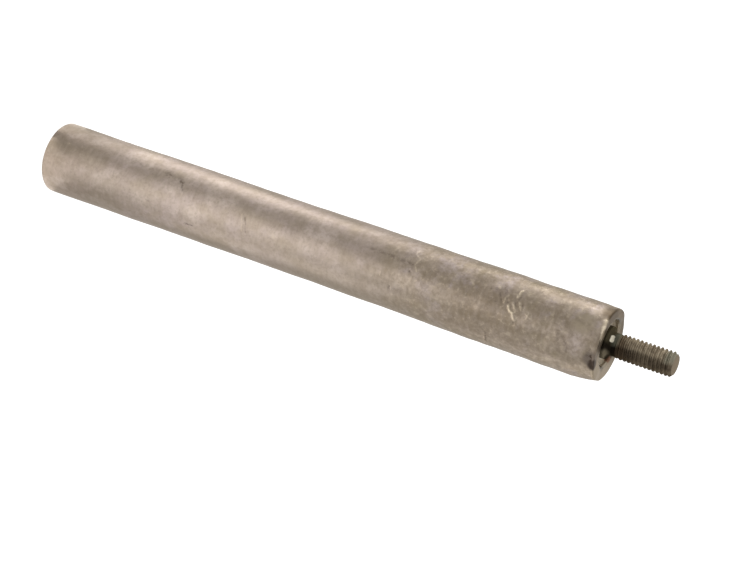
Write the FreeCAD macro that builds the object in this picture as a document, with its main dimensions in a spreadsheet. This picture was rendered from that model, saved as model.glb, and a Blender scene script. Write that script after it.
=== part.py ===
import FreeCAD, Part
import os
import Sketcher

# Water heater anode rod: a round magnesium bar with a steel stud held in one end.
# The plain sawn end stands on the ground at Z 0 and the stud points up along Z. Sizes are in millimetres.

SIZES = {
    # The bar
    "rod_radius": 9.0,
    "rod_length": 154.0,
    "plain_edge": 0.3,
    # The necked end that holds the stud
    "neck_length": 6.5,
    "neck_drop": 0.2,
    "rim_round": 0.4,
    # The flat that the crimping jaw leaves on one side of the neck
    "crimp_length": 6.0,
    "crimp_depth": 0.5,
    # The recess in the end, its distance off the bar's axis, and its mouth
    "recess_radius": 5.8,
    "recess_depth": 1.6,
    "recess_offset": 0.4,
    "mouth_round": 0.5,
    # The stud. Its thread is left as a plain round at the size of the crests.
    "thread_radius": 3.0,
    "stud_reach": 15.8,
    "tip_chamfer": 0.7,
    "grip_depth": 20.0,
    "drill_point": 1.7,
    # The smooth neck and the shoulder that sits on the floor of the recess
    "shank_radius": 2.7,
    "shank_reach": 2.1,
    "shoulder_radius": 3.9,
    "shoulder_height": 1.4,
    "shoulder_round": 1.0,
    # The stud stands this far off the bar's own axis
    "stud_offset": 0.6,
}

SHEET = "Sizes"
ROUND_OFF = 1e-4


def make_sheet(doc):
    """The spreadsheet that drives every size, one named cell each."""
    sheet = doc.addObject("Spreadsheet::Sheet", SHEET)
    for row, (word, value) in enumerate(SIZES.items(), start=1):
        sheet.set(f"A{row}", word)
        sheet.set(f"B{row}", str(value))
        sheet.setAlias(f"B{row}", word)
    doc.recompute()
    return sheet


def amount(*words):
    """The sum of some named sizes. A word that starts with a minus sign counts as negative."""
    total = 0.0
    for word in words:
        size = SIZES[word.lstrip("-")]
        total += -size if word.startswith("-") else size
    return total


def formula(*words):
    """The same sum, written for the spreadsheet."""
    terms = []
    for word in words:
        sign = "-" if word.startswith("-") else "+"
        terms.append(f"{sign} {SHEET}.{word.lstrip('-')}")
    return " ".join(terms).removeprefix("+ ")


def origin_plane(body, role):
    for feature in body.Origin.OriginFeatures:
        if feature.Role == role:
            return feature
    raise ValueError(f"{body.Label} has no {role}")


def pin_corner(sketch, line, across, along):
    """Holds the start of one line at its two named distances from the sketch's origin."""
    start = 1
    vertical_axis = -2
    if across:
        index = sketch.addConstraint(Sketcher.Constraint("DistanceX", -1, 1, line, start, amount(*across)))
        sketch.setExpression(f"Constraints[{index}]", formula(*across))
    else:
        sketch.addConstraint(Sketcher.Constraint("PointOnObject", line, start, vertical_axis))
    if along:
        index = sketch.addConstraint(Sketcher.Constraint("DistanceY", -1, 1, line, start, amount(*along)))
        sketch.setExpression(f"Constraints[{index}]", formula(*along))
    else:
        sketch.addConstraint(Sketcher.Constraint("PointOnObject", line, start, -1))


def closed_outline(body, name, corners):
    """A closed outline in the XZ plane. Each corner is two tuples of size names: across X and up Z."""
    sketch = body.newObject("Sketcher::SketchObject", name)
    sketch.AttachmentSupport = (origin_plane(body, "XZ_Plane"), [""])
    sketch.MapMode = "FlatFace"
    places = [FreeCAD.Vector(amount(*across), amount(*along), 0) for across, along in corners]
    for place, following in zip(places, places[1:] + places[:1]):
        sketch.addGeometry(Part.LineSegment(place, following))
    count = len(corners)
    for line in range(count):
        sketch.addConstraint(Sketcher.Constraint("Coincident", line, 2, (line + 1) % count, 1))
    for line, (across, along) in enumerate(corners):
        pin_corner(sketch, line, across, along)
    return sketch


def turned(body, kind, name, corners):
    """Adds or cuts a full turn of an outline about the upright axis of its sketch."""
    sketch = closed_outline(body, name + "Outline", corners)
    feature = body.newObject(kind, name)
    feature.Profile = sketch
    feature.ReferenceAxis = (sketch, ["V_Axis"])
    feature.Angle = 360.0
    return feature


def level_edges(shape, height, least_radius, most_radius):
    """The names of the edges that lie level at one height, no nearer to or further from Z than given."""
    names = []
    for number, edge in enumerate(shape.Edges, start=1):
        box = edge.BoundBox
        level = abs(box.ZMin - height) < ROUND_OFF and abs(box.ZMax - height) < ROUND_OFF
        reach = max(abs(box.XMin), abs(box.XMax), abs(box.YMin), abs(box.YMax))
        if level and least_radius <= reach <= most_radius:
            names.append(f"Edge{number}")
    return names


def eased(body, base, kind, name, edges, size):
    """Rounds or chamfers some edges of the feature before it, by one named size."""
    feature = body.newObject(kind, name)
    feature.Base = (base, edges)
    rounded = kind == "PartDesign::Fillet"
    feature.setExpression("Radius" if rounded else "Size", formula(size))
    return feature


def make_rod(doc):
    """The bar: a turned blank, crimped on one side, recessed and bored for the stud."""
    body = doc.addObject("PartDesign::Body", "magnesium_rod")
    body.Label = "magnesium_rod"

    blank = turned(body, "PartDesign::Revolution", "Blank", [
        ((), ()),
        (("rod_radius",), ()),
        (("rod_radius",), ("rod_length", "-neck_length")),
        (("rod_radius", "-neck_drop"), ("rod_length",)),
        ((), ("rod_length",)),
    ])
    doc.recompute()

    rim = level_edges(blank.Shape, amount("rod_length"), 0.0, amount("rod_radius"))
    eased(body, blank, "PartDesign::Fillet", "RoundedRim", rim, "rim_round")

    flat = closed_outline(body, "CrimpOutline", [
        (("rod_radius",), ("rod_length", "-crimp_length")),
        (("rod_radius", "-crimp_depth"), ("rod_length",)),
        (("rod_radius", "rod_radius"), ("rod_length",)),
        (("rod_radius", "rod_radius"), ("rod_length", "-crimp_length")),
    ])
    crimp = body.newObject("PartDesign::Pocket", "Crimp")
    crimp.Profile = flat
    crimp.Type = "ThroughAll"
    crimp.SideType = "Symmetric"

    recess = turned(body, "PartDesign::Groove", "Recess", [
        ((), ("rod_length", "-recess_depth")),
        (("recess_radius",), ("rod_length", "-recess_depth")),
        (("recess_radius",), ("rod_length",)),
        ((), ("rod_length",)),
    ])
    recess.Profile[0].setExpression("AttachmentOffset.Base.x", formula("-recess_offset"))

    bore = turned(body, "PartDesign::Groove", "Bore", [
        ((), ("rod_length", "-recess_depth", "-grip_depth", "-drill_point")),
        (("thread_radius",), ("rod_length", "-recess_depth", "-grip_depth")),
        (("thread_radius",), ("rod_length", "-recess_depth")),
        ((), ("rod_length", "-recess_depth")),
    ])
    bore.Profile[0].setExpression("AttachmentOffset.Base.x", formula("-stud_offset"))
    doc.recompute()

    furthest = amount("recess_radius", "recess_offset") + ROUND_OFF
    mouth = level_edges(bore.Shape, amount("rod_length"), 0.0, furthest)
    rounded_mouth = eased(body, bore, "PartDesign::Fillet", "RoundedMouth", mouth, "mouth_round")
    doc.recompute()

    foot = level_edges(rounded_mouth.Shape, 0.0, 0.0, amount("rod_radius") + ROUND_OFF)
    eased(body, rounded_mouth, "PartDesign::Chamfer", "SawnEdge", foot, "plain_edge")
    doc.recompute()
    return body, [crimp, recess, bore]


def make_stud(doc):
    """The stud: gripped shank, shoulder on the recess floor, smooth neck and threaded end."""
    body = doc.addObject("PartDesign::Body", "threaded_stud")
    body.Label = "threaded_stud"

    seat = ("rod_length", "-recess_depth")
    shoulder_top = seat + ("shoulder_height",)
    thread_start = ("rod_length", "shank_reach")
    step = ("thread_radius", "-shank_radius")
    tip = ("rod_length", "stud_reach")

    turned(body, "PartDesign::Revolution", "Blank", [
        ((), seat + ("-grip_depth",)),
        (("thread_radius",), seat + ("-grip_depth",)),
        (("thread_radius",), seat),
        (("shoulder_radius",), seat),
        (("shoulder_radius",), shoulder_top),
        (("shank_radius",), shoulder_top),
        (("shank_radius",), thread_start),
        (("thread_radius",), thread_start + step),
        (("thread_radius",), tip + ("-tip_chamfer",)),
        (("thread_radius", "-tip_chamfer"), tip),
        ((), tip),
    ])
    doc.recompute()

    blank = body.Tip
    corner = level_edges(blank.Shape, amount(*shoulder_top), 0.0, amount("shank_radius") + ROUND_OFF)
    eased(body, blank, "PartDesign::Fillet", "ShoulderRound", corner, "shoulder_round")
    body.setExpression("Placement.Base.x", formula("-stud_offset"))
    doc.recompute()
    return body


def check(doc, bodies, cuts):
    """Stops on a failed object, a cut that removes nothing, or a shape that isn't one sound solid."""
    for item in doc.Objects:
        if "Invalid" in item.State or "Error" in item.State:
            raise RuntimeError(f"{item.Label} failed: {item.State}")
    for cut in cuts:
        if cut.Shape.Volume >= cut.BaseFeature.Shape.Volume - ROUND_OFF:
            raise RuntimeError(f"{cut.Label} removes nothing")
    for body in bodies:
        shape = body.Shape
        if shape.isNull() or not shape.isValid() or len(shape.Solids) != 1:
            raise RuntimeError(f"{body.Label} isn't one sound solid")


def main():
    doc = FreeCAD.newDocument("AnodeRod")
    make_sheet(doc)
    rod, cuts = make_rod(doc)
    stud = make_stud(doc)
    check(doc, [rod, stud], cuts)

    os.makedirs("parts", exist_ok=True)
    for body in (rod, stud):
        body.Shape.exportStep(f"parts/{body.Label}.step")
        box = body.Shape.BoundBox
        print(body.Label, "volume", round(body.Shape.Volume, 1), "height", round(box.ZMin, 2), round(box.ZMax, 2))


main()
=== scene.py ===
import math
from types import SimpleNamespace

import bpy
import numpy as np
from mathutils import Matrix, Vector


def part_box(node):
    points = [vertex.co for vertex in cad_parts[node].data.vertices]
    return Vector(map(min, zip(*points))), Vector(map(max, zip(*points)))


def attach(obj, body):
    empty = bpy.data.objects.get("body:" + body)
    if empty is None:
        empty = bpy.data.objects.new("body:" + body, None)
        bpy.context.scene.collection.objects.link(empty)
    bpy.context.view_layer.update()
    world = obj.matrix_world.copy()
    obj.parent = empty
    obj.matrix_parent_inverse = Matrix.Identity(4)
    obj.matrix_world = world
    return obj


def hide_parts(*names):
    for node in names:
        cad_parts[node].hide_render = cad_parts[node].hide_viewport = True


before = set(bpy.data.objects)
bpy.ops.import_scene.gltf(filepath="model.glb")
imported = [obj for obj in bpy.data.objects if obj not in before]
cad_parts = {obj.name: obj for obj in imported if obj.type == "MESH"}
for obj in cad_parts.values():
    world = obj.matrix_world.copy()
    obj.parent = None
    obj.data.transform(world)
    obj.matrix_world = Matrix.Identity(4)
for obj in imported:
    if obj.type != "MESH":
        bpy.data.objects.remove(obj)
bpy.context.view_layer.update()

MM = 0.001

# Main sizes, in millimetres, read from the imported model
rod_low, rod_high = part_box("magnesium_rod")
stud_low, stud_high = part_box("threaded_stud")
ROD_RADIUS = (rod_high[1] - rod_low[1]) / 2 / MM
ROD_LENGTH = rod_high[2] / MM
STUD_FOOT = stud_low[2] / MM
STUD_TIP = stud_high[2] / MM
STUD_X = (stud_low[0] + stud_high[0]) / 2 / MM

# The plain end's edge break, which is finer here than the 0.3 of the solids
PLAIN_EDGE = 0.15

# The bar's neck, crimp, recess and bore, as the solids have them
NECK_LENGTH = 6.5
NECK_DROP = 0.2
RIM_ROUND = 0.4
CRIMP_LENGTH = 6.0
CRIMP_DEPTH = 0.5
RECESS_RADIUS = 5.8
RECESS_DEPTH = 1.6
RECESS_X = -0.4
MOUTH_ROUND = 0.5
GRIP_RADIUS = 3.0
GRIP_DEPTH = 20.0
DRILL_POINT = 1.7

# The crimped side starts this far outside the bar and drops this much more than the crimp's depth, in a curve
# of this power. At the rim it ends 0.1 deeper than the solids' flat.
CRIMP_OUTSET = 0.2
CRIMP_EXTRA = 0.3
CRIMP_CURVE = 1.6

# The stud
THREAD_RADIUS = 3.0
THREAD_PITCH = 1.0
THREAD_DEPTH = 0.48
THREAD_PHASE = -0.29
THREAD_RUN_OUT = 0.5
CREST_WEAR = 0.03
TIP_CHAMFER = 0.7
SHANK_RADIUS = 2.7
SHANK_REACH = 2.1
SHOULDER_RADIUS = 3.9
SHOULDER_HEIGHT = 1.4
SHOULDER_ROUND = 1.0
SHOULDER_EDGE = 0.12

# How finely the two surfaces are divided
ROD_STEP = 0.8
NECK_STEP = 0.26
FACE_STEP = 0.3
HIDDEN_STEP = 6.0
SHANK_STEP = 0.15
STUD_SEGMENTS = 96
THREAD_STEP = 0.065

# Stretches of the bar whose rows lie closer together, because marks cross them: from, to, step
FINE_STRETCHES = (
    (35.0, 41.5, 0.25),
    (58.6, 61.6, 0.16),
    (98.0, 108.0, 0.25),
    (120.0, 138.0, 0.18),
    (140.8, 147.5, 0.35),
)

# The bar's points lie closer together on the side that carries the marks, between these angles
MARKED_FROM = -150.0
MARKED_TO = -25.0
MARKED_SEGMENTS = 126
PLAIN_SEGMENTS = 104

# The drawn bar isn't quite straight and even: height, then how much its radius and its middle depart
FORM = (
    (0.0, 0.1, 0.0),
    (11.0, 0.1, 0.0),
    (18.0, 0.07, 0.0),
    (33.0, -0.04, 0.0),
    (54.0, -0.09, 0.0),
    (65.0, -0.18, 0.0),
    (82.0, -0.13, 0.0),
    (96.0, -0.09, 0.0),
    (110.0, -0.01, 0.0),
    (123.0, 0.0, 0.12),
    (137.0, 0.1, 0.14),
    (148.5, 0.1, 0.18),
    (154.0, 0.08, 0.05),
)

# The stud end's face falls away on its far side: by how much, towards which angle and from which height
FACE_FALL = 0.45
FACE_FALL_TOWARDS = 75.0
FACE_FALL_FROM = 151.0

# Fine unevenness of the bar: seed, depth, wavelength, number of waves, and whether it doubles towards the stud end
RIPPLES = (
    (1, 0.05, 28.0, 24, False),
    (2, 0.016, 8.0, 40, True),
    (3, 0.005, 2.8, 60, True),
)
ROUGHER_FROM = 95.0
ROUGHER_TO = 120.0


def smooth(value, low, high):
    """Rises smoothly from 0 at low to 1 at high."""
    share = np.clip((np.asarray(value, float) - low) / (high - low), 0.0, 1.0)
    return share * share * (3.0 - 2.0 * share)


def steps(start, stop, size):
    """Evenly spaced values from start to stop, about one size apart, without the last one."""
    count = max(1, round(abs(stop - start) / size))
    return [start + (stop - start) * number / count for number in range(count)]


def arc(centre_radius, centre_height, size, first, last, count):
    """Points of a quarter round in the outline, as pairs of radius and height."""
    angles = np.radians(np.linspace(first, last, count))
    return [(centre_radius + size * math.cos(a), centre_height + size * math.sin(a)) for a in angles]


def lathe_mesh(name, rings, segments):
    """A closed mesh from rings of points. The first and last ring are single points on the axis."""
    points = [rings[0][0]]
    for ring in rings[1:-1]:
        points.extend(ring)
    points.append(rings[-1][0])
    inner = len(rings) - 2
    faces = []
    for number in range(segments):
        following = (number + 1) % segments
        faces.append((0, 1 + following, 1 + number))
    for row in range(inner - 1):
        base = 1 + row * segments
        for number in range(segments):
            following = (number + 1) % segments
            faces.append((base + number, base + following, base + segments + following, base + segments + number))
    base = 1 + (inner - 1) * segments
    last = len(points) - 1
    for number in range(segments):
        following = (number + 1) % segments
        faces.append((base + number, base + following, last))
    mesh = bpy.data.meshes.new(name)
    mesh.from_pydata([tuple(float(c) * MM for c in point) for point in points], [], faces)
    mesh.update()
    mesh.shade_smooth()
    piece = bpy.data.objects.new(name, mesh)
    bpy.context.scene.collection.objects.link(piece)
    return piece


# The bar


def rod_outline():
    """The bar's outline as rows of radius, height, axis offset and share of surface unevenness."""
    neck_start = ROD_LENGTH - NECK_LENGTH
    neck_radius = ROD_RADIUS - NECK_DROP
    floor = ROD_LENGTH - RECESS_DEPTH
    rows = [(0.0, 0.0, 0.0, 0.0)]
    for radius in (2.5, 5.0, 7.0, ROD_RADIUS - PLAIN_EDGE - 0.15):
        rows.append((radius, 0.0, 0.0, 0.0))
    for radius, height in arc(ROD_RADIUS - PLAIN_EDGE, PLAIN_EDGE, PLAIN_EDGE, -90, 0, 5):
        rows.append((radius, height, 0.0, smooth(height, 0.0, PLAIN_EDGE)))
    reached = PLAIN_EDGE + ROD_STEP
    for start, stop, size in (*FINE_STRETCHES, (neck_start, neck_start, ROD_STEP)):
        heights = steps(reached, start, ROD_STEP) if start > reached else []
        heights += steps(start, stop, size) if stop > start else []
        rows += [(ROD_RADIUS, height, 0.0, 1.0) for height in heights]
        reached = stop
    for height in steps(neck_start, ROD_LENGTH - RIM_ROUND, NECK_STEP):
        drop = NECK_DROP * (height - neck_start) / NECK_LENGTH
        rows.append((ROD_RADIUS - drop, height, 0.0, 1.0))
    for radius, height in arc(neck_radius - RIM_ROUND, ROD_LENGTH - RIM_ROUND, RIM_ROUND, 0, 90, 7):
        rows.append((radius, height, 0.0, 1.0))
    outer = neck_radius - RIM_ROUND - 0.25
    mouth_radius = RECESS_RADIUS + MOUTH_ROUND
    for radius in steps(outer, mouth_radius, FACE_STEP):
        share = (outer - radius) / (outer - mouth_radius)
        rows.append((radius, ROD_LENGTH, share * RECESS_X, 0.6))
    for radius, height in arc(mouth_radius, ROD_LENGTH - MOUTH_ROUND, MOUTH_ROUND, 90, 180, 6):
        rows.append((radius, height, RECESS_X, 0.4))
    for height in steps(ROD_LENGTH - MOUTH_ROUND - 0.25, floor, FACE_STEP):
        rows.append((RECESS_RADIUS, height, RECESS_X, 0.0))
    rows.append((RECESS_RADIUS, floor, RECESS_X, 0.0))
    for radius in (5.3, 4.6):
        rows.append((radius, floor, RECESS_X, 0.0))
    rows.append((GRIP_RADIUS, floor, STUD_X, 0.0))
    for height in steps(floor - 4.0, floor - GRIP_DEPTH, HIDDEN_STEP):
        rows.append((GRIP_RADIUS, height, STUD_X, 0.0))
    rows.append((GRIP_RADIUS, floor - GRIP_DEPTH, STUD_X, 0.0))
    rows.append((0.0, floor - GRIP_DEPTH - DRILL_POINT, STUD_X, 0.0))
    return rows


def ripples(angle, height, seed, wavelength, count):
    """Smooth random unevenness of about one wavelength, closed around the bar, with a spread of 1."""
    rng = np.random.default_rng(seed)
    total = np.zeros(np.broadcast(angle, height).shape)
    for _ in range(count):
        heading = rng.uniform(0, 2 * math.pi)
        length = wavelength * rng.uniform(0.7, 1.4)
        around = round(2 * math.pi * ROD_RADIUS * math.cos(heading) / length)
        along = 2 * math.pi * math.sin(heading) / length
        total += np.cos(around * angle + along * height + rng.uniform(0, 2 * math.pi))
    return total * math.sqrt(2.0 / count)


def path_distance(angle, height, path):
    """The distance on the bar's surface from a path of places, in millimetres."""
    nearest = np.full(np.broadcast(angle, height).shape, 100.0)
    for start, end in zip(path, path[1:]):
        rise = end[0] - start[0]
        sweep = ROD_RADIUS * math.radians(end[1] - start[1])
        up = height - start[0]
        across = ROD_RADIUS * np.angle(np.exp(1j * (angle - math.radians(start[1]))))
        share = np.clip((across * sweep + up * rise) / (sweep ** 2 + rise ** 2), 0.0, 1.0)
        nearest = np.minimum(nearest, np.hypot(across - share * sweep, up - share * rise))
    return nearest


# Handling marks. Each is a path of places, height up the bar and degrees round it, then its width and depth.
# A negative depth is a raised burr, which is bright; the one along the rim's crest is a painted highlight. The
# others are dark.
MARKS = (
    # The cluster of gouges towards the stud end
    (((132.7, -126.5), (132.5, -121.4), (132.3, -113.9)), 0.20, -0.11),
    (((133.1, -115.0), (133.0, -109.5)), 0.20, 0.07),
    (((130.2, -112.5), (129.7, -107.0), (129.9, -100.1)), 0.16, -0.06),
    (((131.0, -98.1), (131.3, -94.5), (131.9, -90.7), (132.6, -89.1)), 0.20, -0.11),
    (((131.8, -104.4), (132.7, -96.7)), 0.16, -0.07),
    (((133.6, -94.2), (132.7, -90.2)), 0.14, -0.05),
    (((133.3, -106.9), (133.8, -102.2), (134.3, -97.8)), 0.18, -0.07),
    (((132.8, -85.9), (133.5, -80.8)), 0.23, -0.10),
    (((133.4, -76.6), (133.6, -74.5)), 0.23, 0.07),
    (((133.6, -72.3), (133.9, -71.8)), 0.20, -0.05),
    (((127.2, -120.5), (127.5, -118.5)), 0.25, -0.07),
    (((125.5, -114.5), (125.7, -113.1)), 0.25, 0.05),
    (((127.0, -114.9), (127.2, -112.8)), 0.20, 0.04),
    (((128.0, -111.7), (128.5, -106.9), (129.4, -99.1)), 0.21, 0.06),
    (((129.2, -120.0), (129.5, -112.6), (130.7, -102.0)), 0.23, 0.06),
    (((135.6, -94.5), (137.1, -89.8)), 0.12, -0.04),
    (((136.4, -97.1), (136.2, -87.8)), 0.12, -0.04),
    (((134.3, -104.5), (134.5, -102.1)), 0.20, 0.05),
    (((126.7, -98.7), (127.9, -98.4)), 0.32, 0.05),
    (((132.5, -104.9), (132.8, -100.6)), 0.16, 0.05),
    (((120.9, -112.6), (121.2, -110.8)), 0.21, -0.06),
    (((126.9, -44.8), (126.7, -27.6)), 0.26, 0.08),
    # Pits and scratches near the plain end and along the middle
    (((35.3, -119.5), (36.4, -118.5)), 0.46, 0.08),
    (((38.7, -116.6), (40.4, -114.2)), 0.44, 0.09),
    (((40.3, -112.5), (41.1, -103.1)), 0.30, 0.07),
    (((5.5, -115.0), (5.8, -113.6)), 0.20, -0.06),
    (((43.6, -50.8), (44.9, -51.1), (46.1, -51.4)), 0.20, 0.11),
    (((32.4, -68.9), (32.6, -68.3)), 0.18, 0.05),
    (((59.0, -97.7), (59.6, -85.3), (60.1, -71.7)), 0.12, -0.03),
    (((60.1, -94.4), (60.8, -84.4), (61.2, -71.8)), 0.12, 0.06),
    (((68.6, -85.1), (68.9, -77.6)), 0.12, -0.03),
    (((93.1, -111.9), (96.3, -112.4), (99.3, -112.0)), 0.30, 0.04),
    (((99.3, -112.0), (102.4, -110.1), (105.5, -109.3)), 0.38, 0.06),
    (((105.1, -137.5), (104.9, -127.5), (106.5, -120.5)), 0.14, -0.06),
    (((106.5, -120.5), (105.9, -110.6), (107.0, -100.5)), 0.14, -0.06),
    (((105.2, -99.0), (105.4, -97.5)), 0.21, 0.08),
    (((101.4, -67.2), (101.4, -61.9)), 0.18, 0.08),
    (((98.4, -83.6), (98.5, -77.9)), 0.12, -0.05),
    # The neck and the rim
    (((143.9, -92.6), (144.8, -75.0)), 0.27, 0.03),
    (((141.8, -105.7), (142.2, -99.8)), 0.14, -0.04),
    (((145.9, -80.3), (146.6, -74.2), (147.2, -63.1)), 0.30, 0.04),
    (((147.3, -112.1), (148.8, -110.5), (150.4, -109.1)), 0.39, 0.04),
    (((147.7, -116.5), (148.0, -114.6)), 0.16, -0.03),
    (((149.6, -110.8), (150.0, -109.1)), 0.16, -0.03),
    (((152.5, -74.3), (152.4, -66.1), (152.8, -57.5)), 0.50, 0.07),
    (((153.0, -66.0), (153.2, -58.0), (153.6, -50.0)), 0.42, 0.26),
    # A painted highlight along the rim's crest, carried as a bright burr.
    (((153.8, -122.0), (154.2, -113.0), (154.6, -105.0), (155.0, -97.0), (155.3, -90.0)), 0.55, -0.12),
)

# A mark of this depth shows its full tone, and marks have worn this much wider than they were cut
FULL_TONE_DEPTH = 0.15
WORN_WIDER = 1.2


def rod_angles():
    """The angles of the bar's points, closer together on the side that carries the marks."""
    marked = np.linspace(MARKED_FROM, MARKED_TO, MARKED_SEGMENTS, endpoint=False)
    plain = np.linspace(MARKED_TO, MARKED_FROM + 360.0, PLAIN_SEGMENTS, endpoint=False)
    return np.radians(np.concatenate([marked, plain]))[None, :]


def rod_piece():
    """The bar's mesh, with its marks and its recess's painted shade also kept as values for the material."""
    rows = rod_outline()
    radius = np.array([row[0] for row in rows])[:, None]
    height = np.array([row[1] for row in rows])[:, None]
    offset = np.array([row[2] for row in rows])[:, None]
    share = np.array([float(row[3]) for row in rows])[:, None]
    angle = rod_angles()

    form_height, form_radius, form_shift = np.array(FORM).T
    rougher = 1.0 + smooth(height, ROUGHER_FROM, ROUGHER_TO)
    uneven = np.interp(height, form_height, form_radius)
    for seed, depth, wavelength, count, grows in RIPPLES:
        uneven = uneven + depth * (rougher if grows else 1.0) * ripples(angle, height, seed, wavelength, count)
    bright = np.zeros(uneven.shape)
    dark = np.zeros(uneven.shape)
    rim_radius = ROD_RADIUS - NECK_DROP
    on_end = (height > ROD_LENGTH - 1.0) & (radius < rim_radius)
    unrolled = height + np.where(on_end, rim_radius - radius, 0.0)
    for path, width, depth in MARKS:
        near = np.exp(-(path_distance(angle, unrolled, path) / (WORN_WIDER * width)) ** 2)
        uneven -= depth * near
        tone = near * min(1.0, abs(depth) / FULL_TONE_DEPTH)
        if depth < 0:
            bright = np.maximum(bright, tone)
        else:
            dark = np.maximum(dark, tone)

    outside = radius > RECESS_RADIUS
    reach = radius + share * uneven * outside
    offset = offset + share * outside * np.interp(height, form_height, form_shift)
    x = reach * np.cos(angle) + offset
    y = reach * np.sin(angle)
    crimp_start = ROD_LENGTH - CRIMP_LENGTH
    crimp_share = np.clip((height - crimp_start) / CRIMP_LENGTH, 0.0, 1.0)
    flat = ROD_RADIUS + CRIMP_OUTSET - (CRIMP_DEPTH + CRIMP_EXTRA) * crimp_share ** CRIMP_CURVE
    crimped = (height > crimp_start) & (radius > RECESS_RADIUS + 1.0)
    x = np.where(crimped, np.minimum(x, flat), x)

    floor = ROD_LENGTH - RECESS_DEPTH
    falling = np.where(outside, smooth(height, FACE_FALL_FROM, ROD_LENGTH), (height - floor) / RECESS_DEPTH)
    towards = np.cos(angle - math.radians(FACE_FALL_TOWARDS))
    z = height - FACE_FALL * smooth(towards, -0.1, 0.5) * np.clip(falling, 0.0, 1.0)

    # The recess's painted shade: inside the recess and up to 0.8 mm past its mouth.
    from_mouth = np.hypot(x - RECESS_X, y) - RECESS_RADIUS
    recess_shade = (1.0 - smooth(from_mouth, 0.0, 0.8)) * (height > floor - 0.1)
    rings = np.stack([x, y, z], axis=-1)
    piece = lathe_mesh("rod_body", rings, angle.size)
    for label, values in (("burr_and_highlight", bright), ("pit", dark), ("recess_shade", recess_shade)):
        attribute = piece.data.attributes.new(label, "FLOAT", "POINT")
        flat_values = np.concatenate([values[0, :1], values[1:-1].ravel(), values[-1, :1]])
        attribute.data.foreach_set("value", flat_values.astype(np.float32))
    return piece


# The stud


def thread_depth(angle, height):
    """How far the thread's surface lies below its crests. It is right-handed."""
    phase = np.mod(height / THREAD_PITCH - angle / (2 * math.pi) + THREAD_PHASE, 1.0)
    from_crest = np.minimum(phase, 1.0 - phase)
    crest_flat = 1 / 16
    root_flat = 1 / 10
    slope = np.clip((from_crest - crest_flat) / (0.5 - crest_flat - root_flat), 0.0, 1.0)
    return THREAD_DEPTH * slope


def stud_piece():
    """The stud's mesh: its gripped shank, shoulder, neck, thread and tip."""
    seat = ROD_LENGTH - RECESS_DEPTH
    shoulder_top = seat + SHOULDER_HEIGHT
    corner = shoulder_top + SHOULDER_ROUND
    thread_start = ROD_LENGTH + SHANK_REACH
    cut_start = thread_start - THREAD_RUN_OUT
    edge_radius = SHOULDER_RADIUS - SHOULDER_EDGE
    rows = [(0.0, STUD_FOOT), (1.6, STUD_FOOT), (GRIP_RADIUS, STUD_FOOT)]
    rows += [(GRIP_RADIUS, height) for height in steps(STUD_FOOT + 4.0, seat, HIDDEN_STEP)]
    rows += [(GRIP_RADIUS, seat), (SHOULDER_RADIUS, seat)]
    rows += arc(edge_radius, shoulder_top - SHOULDER_EDGE, SHOULDER_EDGE, 0, 90, 4)
    rows += arc(SHANK_RADIUS + SHOULDER_ROUND, corner, SHOULDER_ROUND, 270, 180, 9)
    rows += [(SHANK_RADIUS, height) for height in steps(corner + SHANK_STEP, cut_start, SHANK_STEP)]
    threaded_from = len(rows)
    rows += [(THREAD_RADIUS, height) for height in steps(cut_start, STUD_TIP, THREAD_STEP)]
    threaded_to = len(rows)
    tip_radius = THREAD_RADIUS - TIP_CHAMFER
    rows += [(tip_radius, STUD_TIP), (tip_radius - 0.15, STUD_TIP), (1.2, STUD_TIP), (0.0, STUD_TIP)]

    radius = np.array([row[0] for row in rows])[:, None]
    height = np.array([row[1] for row in rows])[:, None]
    angle = np.linspace(0, 2 * math.pi, STUD_SEGMENTS, endpoint=False)[None, :]
    reach = np.broadcast_to(radius, (len(rows), STUD_SEGMENTS)).copy()
    threaded = slice(threaded_from, threaded_to)
    cut = THREAD_RADIUS - CREST_WEAR - thread_depth(angle, height[threaded])
    run_in = smooth(height[threaded], thread_start - 0.4, thread_start + 0.8)
    chamfer = tip_radius + np.clip(STUD_TIP - height[threaded], 0.0, None)
    reach[threaded] = np.minimum(SHANK_RADIUS + (cut - SHANK_RADIUS) * run_in, chamfer)
    x = reach * np.cos(angle) + STUD_X
    y = reach * np.sin(angle)
    z = np.broadcast_to(height, x.shape)
    return lathe_mesh("stud_body", np.stack([x, y, z], axis=-1), STUD_SEGMENTS)


# Materials


def srgb(red, green, blue):
    """A colour as it reads on screen, 0 to 255, in the linear values that the shaders take."""
    return tuple(((c / 255 + 0.055) / 1.055) ** 2.4 if c > 10 else c / 255 / 12.92 for c in (red, green, blue))


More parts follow.
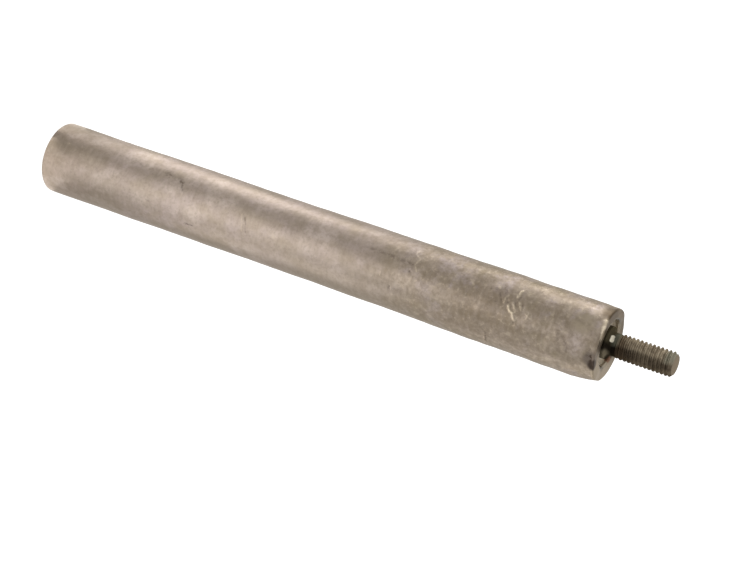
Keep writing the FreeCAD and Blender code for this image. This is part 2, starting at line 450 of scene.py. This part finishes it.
class Shader:
    """A material's nodes, built with short calls."""

    def __init__(self, name):
        self.material = bpy.data.materials.new(name)
        self.material.use_nodes = True
        self.nodes = self.material.node_tree.nodes
        self.links = self.material.node_tree.links
        self.surface = self.nodes["Principled BSDF"]
        self.place = self.nodes.new("ShaderNodeTexCoord").outputs["Object"]

    def join(self, source, socket):
        self.links.new(source, socket)

    def noise(self, scale, detail=3.0, rough=0.55, stretch=(1.0, 1.0, 1.0), shift=(0.0, 0.0, 0.0)):
        """Noise in object space. A stretch under 1 along an axis draws it out along that axis."""
        mapping = self.nodes.new("ShaderNodeMapping")
        mapping.inputs["Scale"].default_value = stretch
        mapping.inputs["Location"].default_value = shift
        self.join(self.place, mapping.inputs["Vector"])
        texture = self.nodes.new("ShaderNodeTexNoise")
        texture.inputs["Scale"].default_value = scale
        texture.inputs["Detail"].default_value = detail
        texture.inputs["Roughness"].default_value = rough
        self.join(mapping.outputs["Vector"], texture.inputs["Vector"])
        return texture.outputs["Fac"]

    def span(self, source, low, high, to_low=0.0, to_high=1.0):
        """Maps low..high to to_low..to_high, clamped and smooth."""
        node = self.nodes.new("ShaderNodeMapRange")
        node.interpolation_type = "SMOOTHSTEP"
        node.inputs["From Min"].default_value = low
        node.inputs["From Max"].default_value = high
        node.inputs["To Min"].default_value = to_low
        node.inputs["To Max"].default_value = to_high
        self.join(source, node.inputs["Value"])
        return node.outputs["Result"]

    def math(self, operation, first, second):
        node = self.nodes.new("ShaderNodeMath")
        node.operation = operation
        for socket, value in zip(node.inputs, (first, second)):
            if isinstance(value, (int, float)):
                socket.default_value = value
            else:
                self.join(value, socket)
        return node.outputs["Value"]

    def blend(self, share, first, second, kind="MIX"):
        """Mixes two colours, each a colour or a socket."""
        node = self.nodes.new("ShaderNodeMix")
        node.data_type = "RGBA"
        node.blend_type = kind
        sockets = [socket for socket in node.inputs if socket.type == "RGBA"]
        if isinstance(share, (int, float)):
            node.inputs["Factor"].default_value = share
        else:
            self.join(share, node.inputs["Factor"])
        for socket, value in zip(sockets, (first, second)):
            if isinstance(value, tuple):
                socket.default_value = (*value, 1.0)
            else:
                self.join(value, socket)
        return [socket for socket in node.outputs if socket.type == "RGBA"][0]

    def coordinate(self, axis):
        """The place along one axis of the bar's frame, in metres."""
        split = self.nodes.new("ShaderNodeSeparateXYZ")
        self.join(self.place, split.inputs["Vector"])
        return split.outputs[axis]

    def distance(self, centre):
        """The distance from one place, given in millimetres, in metres."""
        node = self.nodes.new("ShaderNodeVectorMath")
        node.operation = "DISTANCE"
        self.join(self.place, node.inputs[0])
        node.inputs[1].default_value = tuple(c * MM for c in centre)
        return node.outputs["Value"]

    def spot(self, centre, outer, inner, most=1.0):
        """A round mask about one place, in millimetres. It is 0 from outer on and reaches most at inner."""
        return self.span(self.distance(centre), outer * MM, inner * MM, 0.0, most)

    def multiply(self, first, second):
        return self.math("MULTIPLY", first, second)

    def largest(self, sources):
        """The largest of several values."""
        result = sources[0]
        for source in sources[1:]:
            result = self.math("MAXIMUM", result, source)
        return result

    def attribute(self, name):
        node = self.nodes.new("ShaderNodeAttribute")
        node.attribute_name = name
        return node.outputs["Fac"]

    def bump(self, height, distance, strength, under=None):
        node = self.nodes.new("ShaderNodeBump")
        node.inputs["Strength"].default_value = strength
        node.inputs["Distance"].default_value = distance
        self.join(height, node.inputs["Height"])
        if under is not None:
            self.join(under, node.inputs["Normal"])
        return node.outputs["Normal"]


# Depths of the fine grain and of the coarser unevenness that only the shading shows, in millimetres
FINE_BUMP = 0.04
COARSE_BUMP = 0.1

# Painted shade and stains on the stud end's face and rim: place, outer radius, inner radius, strength and tone.
# They are painted shade on the face's shaded side, the bruise beside the punched dent, and painted shade in the
# dent itself.
END_SHADE_AND_STAINS = (
    ((-6.3, -4.4, 154.0), 3.6, 1.6, 0.85, (82, 69, 52)),
    ((4.4, -7.8, 153.1), 2.4, 1.2, 0.7, (104, 94, 87)),
    ((5.5, -6.85, 154.0), 1.9, 1.0, 0.9, (50, 40, 35)),
)

# The painted highlight on the near rim's crest, where spots overlap
CREST_HIGHLIGHT_SPOTS = (
    (-3.2, -7.9, 153.95),
    (-2.7, -8.0, 154.0),
    (-2.1, -8.05, 154.0),
    (-1.5, -8.0, 154.0),
    (-0.9, -8.0, 154.0),
)


def bar_noises(shader):
    """The textures that the bar's tones are made of, from broad to fine."""
    return SimpleNamespace(
        clouds=shader.noise(120.0, detail=4.0, stretch=(1.0, 1.0, 0.7)),
        pale=shader.noise(150.0, detail=4.0, stretch=(1.0, 1.0, 0.8), shift=(0.05, 0.02, 0.07)),
        patches=shader.noise(190.0, detail=4.0, shift=(0.03, 0.01, 0.02)),
        streaks=shader.noise(300.0, stretch=(1.0, 1.0, 0.08)),
        mottle=shader.noise(420.0),
        grit=shader.noise(900.0),
        rings=shader.noise(1100.0, stretch=(0.2, 0.2, 1.0)),
        speckle=shader.noise(1500.0, detail=2.0),
    )


def side_colour(shader, noise, height):
    """The bar's side: warm grey and clouded, and more weathered towards the stud end."""
    foot = shader.span(height, 0.0, 30.0 * MM)
    head = shader.span(height, 85.0 * MM, 118.0 * MM)
    colour = shader.blend(foot, srgb(147, 132, 119), srgb(152, 139, 132))
    colour = shader.blend(head, colour, srgb(150, 136, 119))
    colour = shader.blend(shader.span(noise.clouds, 0.62, 0.38, 0.0, 0.8), colour, srgb(129, 117, 101))
    pale = shader.multiply(shader.span(noise.pale, 0.5, 0.64), shader.span(head, 0.0, 1.0, 0.55, 0.1))
    colour = shader.blend(pale, colour, srgb(172, 159, 149))
    worn = shader.multiply(shader.span(noise.patches, 0.5, 0.64), head)
    colour = shader.blend(worn, colour, srgb(150, 138, 133))
    oxide = shader.multiply(shader.span(noise.patches, 0.5, 0.34), head)
    colour = shader.blend(oxide, colour, srgb(126, 114, 93))
    brown = shader.spot((6.5, -6.0, 126.0), 15.0, 5.0, 0.6)
    colour = shader.blend(brown, colour, srgb(122, 106, 88))
    lower_side = shader.span(shader.coordinate("X"), 0.0, 6.0 * MM)
    lower = shader.multiply(lower_side, shader.span(height, 45.0 * MM, 75.0 * MM))
    colour = shader.blend(shader.multiply(lower, 0.4), colour, srgb(138, 127, 111))
    purple = shader.spot((1.6, -8.8, 148.5), 3.6, 1.2, 0.8)
    colour = shader.blend(purple, colour, srgb(170, 157, 151))
    coarse = shader.multiply(shader.span(noise.mottle, 0.62, 0.35), shader.span(head, 0.0, 1.0, 0.45, 0.72))
    colour = shader.blend(coarse, colour, srgb(124, 111, 95))
    colour = shader.blend(shader.span(noise.streaks, 0.35, 0.7, 0.0, 0.3), colour, srgb(162, 149, 138))
    colour = shader.blend(shader.span(noise.rings, 0.35, 0.7, 0.0, 0.2), colour, srgb(162, 150, 140))
    colour = shader.blend(shader.span(noise.speckle, 0.45, 0.75, 0.0, 0.35), colour, srgb(120, 108, 95))
    dull_grit = shader.multiply(shader.span(noise.grit, 0.52, 0.36), shader.span(head, 0.0, 1.0, 0.15, 0.42))
    colour = shader.blend(dull_grit, colour, srgb(116, 103, 86))
    pale_grit = shader.multiply(shader.span(noise.grit, 0.55, 0.68), shader.span(head, 0.0, 1.0, 0.1, 0.4))
    colour = shader.blend(pale_grit, colour, srgb(172, 158, 140))
    olive = shader.spot((-2.8, -8.5, 149.0), 3.6, 1.2)
    olive = shader.multiply(olive, shader.span(noise.speckle, 0.35, 0.6, 0.35, 0.9))
    return shader.blend(olive, colour, srgb(146, 134, 115))


def end_colour(shader, noise, height, colour):
    """Lays the stud end's darker face, partly painted shade, and its painted shade and stains over the side's
    colour.
    """
    across = shader.coordinate("Y")
    # The face is darker than the side, partly its own dull tone and partly painted shade; less so on the near side.
    end_face = shader.span(height, (ROD_LENGTH - 0.8) * MM, (ROD_LENGTH - 0.4) * MM)
    end_face = shader.multiply(end_face, shader.span(across, -7.8 * MM, -6.0 * MM, 0.35, 1.0))
    tone = shader.blend(shader.span(noise.mottle, 0.4, 0.6), srgb(92, 79, 62), srgb(112, 98, 80))
    tone = shader.blend(shader.span(across, -1.0 * MM, 5.0 * MM), tone, srgb(94, 82, 64))
    tone = shader.blend(shader.span(shader.coordinate("X"), 1.0 * MM, 5.0 * MM), tone, srgb(150, 137, 118))
    colour = shader.blend(end_face, colour, tone)
    for centre, outer, inner, most, mark_tone in END_SHADE_AND_STAINS:
        colour = shader.blend(shader.spot(centre, outer, inner, most), colour, srgb(*mark_tone))
    return colour


def marked_colour(shader, noise, colour):
    """Lays the handling marks and the painted highlight on the rim's crest over a colour."""
    broken = shader.span(noise.speckle, 0.4, 0.56, 0.25, 1.0)
    colour = shader.blend(shader.multiply(shader.attribute("pit"), broken), colour, srgb(66, 54, 46))
    # Bright burrs, and the painted highlight on the rim's crest.
    colour = shader.blend(shader.multiply(shader.attribute("burr_and_highlight"), broken), colour, srgb(206, 191, 167))
    # Painted highlight along the near rim's crest.
    crest_highlight_end = shader.spot((-4.8, -7.35, 153.45), 0.7, 0.3, 0.2)
    crest_highlight = shader.largest([crest_highlight_end] + [shader.spot(centre, 0.95, 0.45, 0.9) for centre in CREST_HIGHLIGHT_SPOTS])
    return shader.blend(crest_highlight, colour, srgb(226, 211, 188))


def recess_colour(shader, noise, height, colour):
    """Lays the recess's painted shade, with a painted lit patch, painted light on its upper far wall and a speck of
    rust, over a colour.
    """
    # Painted shade in the recess: dark, mottled tones.
    tone = shader.blend(shader.span(noise.mottle, 0.4, 0.6), srgb(66, 58, 46), srgb(106, 95, 76))
    inside = shader.span(height, 153.8 * MM, 153.3 * MM)
    # A painted lit patch on the recess floor, brighter deeper in.
    lit_patch = shader.spot((4.4, 1.8, 152.8), 4.2, 2.4)
    tone = shader.blend(lit_patch, tone, shader.blend(inside, srgb(112, 100, 82), srgb(196, 182, 158)))
    rust = shader.spot((3.1, 4.7, 153.2), 1.3, 0.5)
    tone = shader.blend(rust, tone, srgb(140, 98, 72))
    # Painted light on the recess's upper far wall, brighter deeper in.
    lit_far_wall = shader.span(shader.coordinate("X"), -1.5 * MM, -3.8 * MM)
    tone = shader.blend(lit_far_wall, tone, srgb(104, 94, 75))
    tone = shader.blend(shader.multiply(lit_far_wall, inside), tone, srgb(178, 164, 141))
    colour = shader.blend(shader.attribute("recess_shade"), colour, tone)
    smudge = shader.spot((4.9, 0.8, 154.0), 2.1, 1.0, 0.75)
    return shader.blend(smudge, colour, srgb(100, 88, 72))


def rod_material():
    """Drawn magnesium alloy that has dulled: warm grey, clouded, with fine grain and handling marks."""
    shader = Shader("dull_magnesium")
    height = shader.coordinate("Z")
    noise = bar_noises(shader)
    colour = side_colour(shader, noise, height)
    colour = end_colour(shader, noise, height, colour)
    colour = marked_colour(shader, noise, colour)
    colour = recess_colour(shader, noise, height, colour)
    shader.join(colour, shader.surface.inputs["Base Color"])
    # Less metallic where the recess's painted shade lies.
    shader.join(shader.span(shader.attribute("recess_shade"), 0.0, 1.0, 0.85, 0.25), shader.surface.inputs["Metallic"])
    shader.surface.inputs["Specular Tint"].default_value = (0.95, 0.9, 0.84, 1.0)
    shader.join(shader.span(noise.clouds, 0.3, 0.7, 0.38, 0.46), shader.surface.inputs["Roughness"])
    fine = shader.bump(noise.speckle, FINE_BUMP * MM, 0.4)
    grain = shader.bump(noise.rings, FINE_BUMP * MM, 0.3, fine)
    uneven = shader.bump(noise.mottle, COARSE_BUMP * MM, 0.5, grain)
    shader.join(uneven, shader.surface.inputs["Normal"])
    return shader.material


# The pale glint on the stud's fillet: place, outer radius and inner radius of each spot
GLINT_SPOTS = (
    ((-1.3, -2.62, 154.8), 0.62, 0.36),
    ((-1.7, -2.48, 154.75), 0.6, 0.3),
    ((-2.1, -2.25, 154.7), 0.6, 0.3),
)


def stud_material():
    """Dark steel, brown in the thread, with painted shade on one side and painted light on the other, greener at
    the neck and tip.
    """
    shader = Shader("stud_steel")
    height = shader.coordinate("Z")
    tone = shader.noise(520.0, detail=3.0)
    spread = shader.span(tone, 0.35, 0.65)
    # Painted shade on the +X side and painted light on the other, with a wavy border.
    side = shader.math("ADD", shader.coordinate("X"), shader.span(tone, 0.3, 0.7, -0.4 * MM, 0.4 * MM))
    shaded_side = shader.span(side, (STUD_X - 0.6) * MM, (STUD_X + 0.7) * MM)
    lit_side = shader.math("SUBTRACT", 1.0, shaded_side)
    # Lit and shaded copies of the steel's tones: painted light and painted shade.
    light = shader.blend(spread, srgb(126, 114, 97), srgb(166, 154, 134))
    dark = shader.blend(spread, srgb(78, 68, 56), srgb(110, 99, 83))
    colour = shader.blend(shaded_side, light, dark)

    # A greener tip, on the side with painted light only.
    tip = shader.span(height, (STUD_TIP - 2.8) * MM, (STUD_TIP - 1.6) * MM)
    colour = shader.blend(shader.multiply(tip, lit_side), colour, srgb(136, 131, 115))
    end = shader.span(height, (STUD_TIP - 0.12) * MM, (STUD_TIP - 0.02) * MM)
    colour = shader.blend(end, colour, srgb(142, 130, 114))

    thread_start = ROD_LENGTH + SHANK_REACH
    stained = shader.span(height, (thread_start + 3.2) * MM, (thread_start + 1.0) * MM, 0.0, 0.55)
    colour = shader.blend(stained, colour, srgb(94, 76, 56))
    # Painted shade near the base on the shaded side.
    base_shade = shader.span(height, (thread_start + 6.5) * MM, (thread_start + 2.0) * MM, 0.0, 0.6)
    colour = shader.blend(shader.multiply(base_shade, shaded_side), colour, srgb(54, 43, 34))
    # The neck: greener on the lit side, painted shade almost black on the shaded side.
    neck = shader.span(height, (thread_start + 0.8) * MM, (thread_start - 0.4) * MM)
    neck_tone = shader.blend(shaded_side, srgb(100, 99, 85), srgb(28, 24, 20))
    colour = shader.blend(neck, colour, neck_tone)
    # Painted shade on the shoulder's seat, darker on the shaded side.
    seat = shader.span(height, (ROD_LENGTH + 1.3) * MM, (ROD_LENGTH + 0.6) * MM)
    colour = shader.blend(seat, colour, shader.blend(shaded_side, srgb(92, 84, 65), srgb(46, 40, 32)))
    # Painted light on the shoulder's lower side.
    lit_shoulder = shader.spot((2.6, -2.2, 153.4), 2.2, 1.0, 0.55)
    colour = shader.blend(lit_shoulder, colour, srgb(176, 164, 140))
    glint = shader.largest([shader.spot(*spot) for spot in GLINT_SPOTS])
    colour = shader.blend(glint, colour, srgb(238, 232, 214))
    shader.join(colour, shader.surface.inputs["Base Color"])
    # Rougher where the seat's painted shade lies, except at the glint.
    seat_shade = shader.multiply(seat, shader.math("SUBTRACT", 1.0, glint))
    shader.surface.inputs["Metallic"].default_value = 0.95
    shader.surface.inputs["Specular Tint"].default_value = (0.6, 0.54, 0.45, 1.0)
    rough = shader.largest([shader.span(tone, 0.3, 0.7, 0.56, 0.7), shader.multiply(seat_shade, 0.9)])
    shader.join(rough, shader.surface.inputs["Roughness"])
    shader.join(shader.bump(tone, FINE_BUMP * MM, 0.4), shader.surface.inputs["Normal"])
    return shader.material


# Floor, light and camera

# How much light the white surround gives, where 1 is how bright it is when it is seen or mirrored
SURROUND_LIGHT = 0.6

# The floor's half width in metres, how far it lies under the part in millimetres, its grey, and how bright it is
# when it is mirrored
FLOOR_REACH = 3.0
FLOOR_DROP = 0.05
FLOOR_GREY = 0.5
FLOOR_MIRRORED = 0.67

# Lamps that lie on the floor and face up: name, degrees round the bar from the camera's side, near edge, far edge
# and width in millimetres, and radiance, which is 1 where a lamp looks as bright as white
PANELS = (
    ("upper_foot", 82.0, 5.0, 18.0, 12.0, 1.0),
    ("upper_near", 86.0, 18.0, 40.0, 24.0, 0.65),
    ("upper_middle", 96.0, 40.0, 105.0, 50.0, 2.5),
    ("upper_far", 96.0, 105.0, 200.0, 80.0, 3.7),
    ("upper_edge", 96.0, 195.0, 440.0, 190.0, 0.8),
    ("upper_end", 104.0, 450.0, 900.0, 300.0, 6.0),
    ("front_foot", -30.0, 5.0, 20.0, 19.0, 1.1),
    ("front_near", -6.0, 20.0, 60.0, 38.0, 0.8),
    ("front_far", -15.0, 60.0, 270.0, 130.0, 1.9),
    ("lower_side", -75.0, 80.0, 250.0, 110.0, 1.3),
    ("lower_end", -106.0, 520.0, 900.0, 300.0, 3.6),
)
PANEL_HEIGHT = 0.1


def ray_share(tree, mirrored_share):
    """A value that is 1 where the camera looks, the given share where it is mirrored, and 0 for the light given."""
    ray = tree.nodes.new("ShaderNodeLightPath")
    mirrored = tree.nodes.new("ShaderNodeMath")
    mirrored.operation = "MAXIMUM"
    tree.links.new(ray.outputs["Is Glossy Ray"], mirrored.inputs[0])
    tree.links.new(ray.outputs["Is Transmission Ray"], mirrored.inputs[1])
    dimmer = tree.nodes.new("ShaderNodeMath")
    dimmer.operation = "MULTIPLY"
    dimmer.inputs[1].default_value = mirrored_share
    tree.links.new(mirrored.outputs["Value"], dimmer.inputs[0])
    share = tree.nodes.new("ShaderNodeMath")
    share.operation = "MAXIMUM"
    tree.links.new(ray.outputs["Is Camera Ray"], share.inputs[0])
    tree.links.new(dimmer.outputs["Value"], share.inputs[1])
    return share.outputs["Value"]


def add_world():
    """A white surround for what is seen and mirrored, and a softer grey one for the light it gives."""
    world = bpy.data.worlds.new("studio")
    bpy.context.scene.world = world
    world.use_nodes = True
    nodes = world.node_tree.nodes
    links = world.node_tree.links
    strength = nodes.new("ShaderNodeMapRange")
    strength.inputs["To Min"].default_value = SURROUND_LIGHT
    strength.inputs["To Max"].default_value = 1.0
    links.new(ray_share(world.node_tree, 1.0), strength.inputs["Value"])
    links.new(strength.outputs["Result"], nodes["Background"].inputs["Strength"])
    nodes["Background"].inputs["Color"].default_value = (1.0, 1.0, 1.0, 1.0)


def add_floor():
    """A white floor that keeps the soft shadow of what stands on it."""
    reach = FLOOR_REACH
    mesh = bpy.data.meshes.new("floor")
    corners = [(-reach, -reach, 0), (reach, -reach, 0), (reach, reach, 0), (-reach, reach, 0)]
    mesh.from_pydata(corners, [], [(0, 1, 2, 3)])
    floor = bpy.data.objects.new("floor", mesh)
    bpy.context.scene.collection.objects.link(floor)
    floor.location.z = -FLOOR_DROP * MM
    material = bpy.data.materials.new("white_floor")
    material.use_nodes = True
    nodes = material.node_tree.nodes
    links = material.node_tree.links
    nodes.remove(nodes["Principled BSDF"])
    paint = nodes.new("ShaderNodeBsdfDiffuse")
    paint.inputs["Color"].default_value = (FLOOR_GREY, FLOOR_GREY, FLOOR_GREY, 1.0)
    glow = nodes.new("ShaderNodeEmission")
    links.new(ray_share(material.node_tree, FLOOR_MIRRORED), glow.inputs["Strength"])
    both = nodes.new("ShaderNodeAddShader")
    links.new(paint.outputs["BSDF"], both.inputs[0])
    links.new(glow.outputs["Emission"], both.inputs[1])
    links.new(both.outputs["Shader"], nodes["Material Output"].inputs["Surface"])
    mesh.materials.append(material)


def add_panel(name, turn, near, far, width, radiance):
    """A lamp from the list. It reaches out from the bar and isn't seen by the camera."""
    heading = math.radians(turn)
    out = Vector((-math.sin(heading), -math.cos(heading), 0.0))
    light = bpy.data.lights.new(name, "AREA")
    light.shape = "RECTANGLE"
    light.size = width * MM
    light.size_y = (far - near) * MM
    light.energy = radiance * math.pi * light.size * light.size_y
    lamp = bpy.data.objects.new(name, light)
    bpy.context.scene.collection.objects.link(lamp)
    lamp.location = out * (near + far) / 2 * MM + Vector((0.0, 0.0, PANEL_HEIGHT * MM))
    up = Vector((0.0, 0.0, 1.0))
    side = out.cross(up)
    lamp.rotation_euler = Matrix((-side, out, -up)).transposed().to_euler()
    lamp.visible_camera = False


# The camera stands off the bar's side and a little above, and is rolled so that the bar lies across the picture.
CAMERA_PLACE = (0.0, -435.47, 285.89)
CAMERA_AIM = (3.65, 0.0, 93.95)
CAMERA_ROLL = 109.206
CAMERA_LENS = 96.0
SENSOR_WIDTH = 36.0


def add_camera():
    """The camera that was fitted to the photograph."""
    camera = bpy.data.objects.new("camera", bpy.data.cameras.new("camera"))
    bpy.context.scene.collection.objects.link(camera)
    camera.data.lens = CAMERA_LENS
    camera.data.sensor_fit = "HORIZONTAL"
    camera.data.sensor_width = SENSOR_WIDTH
    camera.data.clip_start = 0.01
    place = Vector(CAMERA_PLACE) * MM
    look = Vector(CAMERA_AIM) * MM - place
    turn = look.to_track_quat("-Z", "Y").to_matrix().to_4x4() @ Matrix.Rotation(math.radians(CAMERA_ROLL), 4, "Z")
    camera.matrix_world = Matrix.Translation(place) @ turn
    bpy.context.scene.camera = camera


def dress(piece, node, material):
    """Gives a piece its material and ties it to the solid that it stands for."""
    piece.data.materials.append(material)
    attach(piece, "root")
    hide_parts(node)


add_camera()
add_world()
add_floor()
for panel in PANELS:
    add_panel(*panel)
dress(rod_piece(), "magnesium_rod", rod_material())
dress(stud_piece(), "threaded_stud", stud_material())

bpy.context.scene.view_settings.view_transform = "Standard"
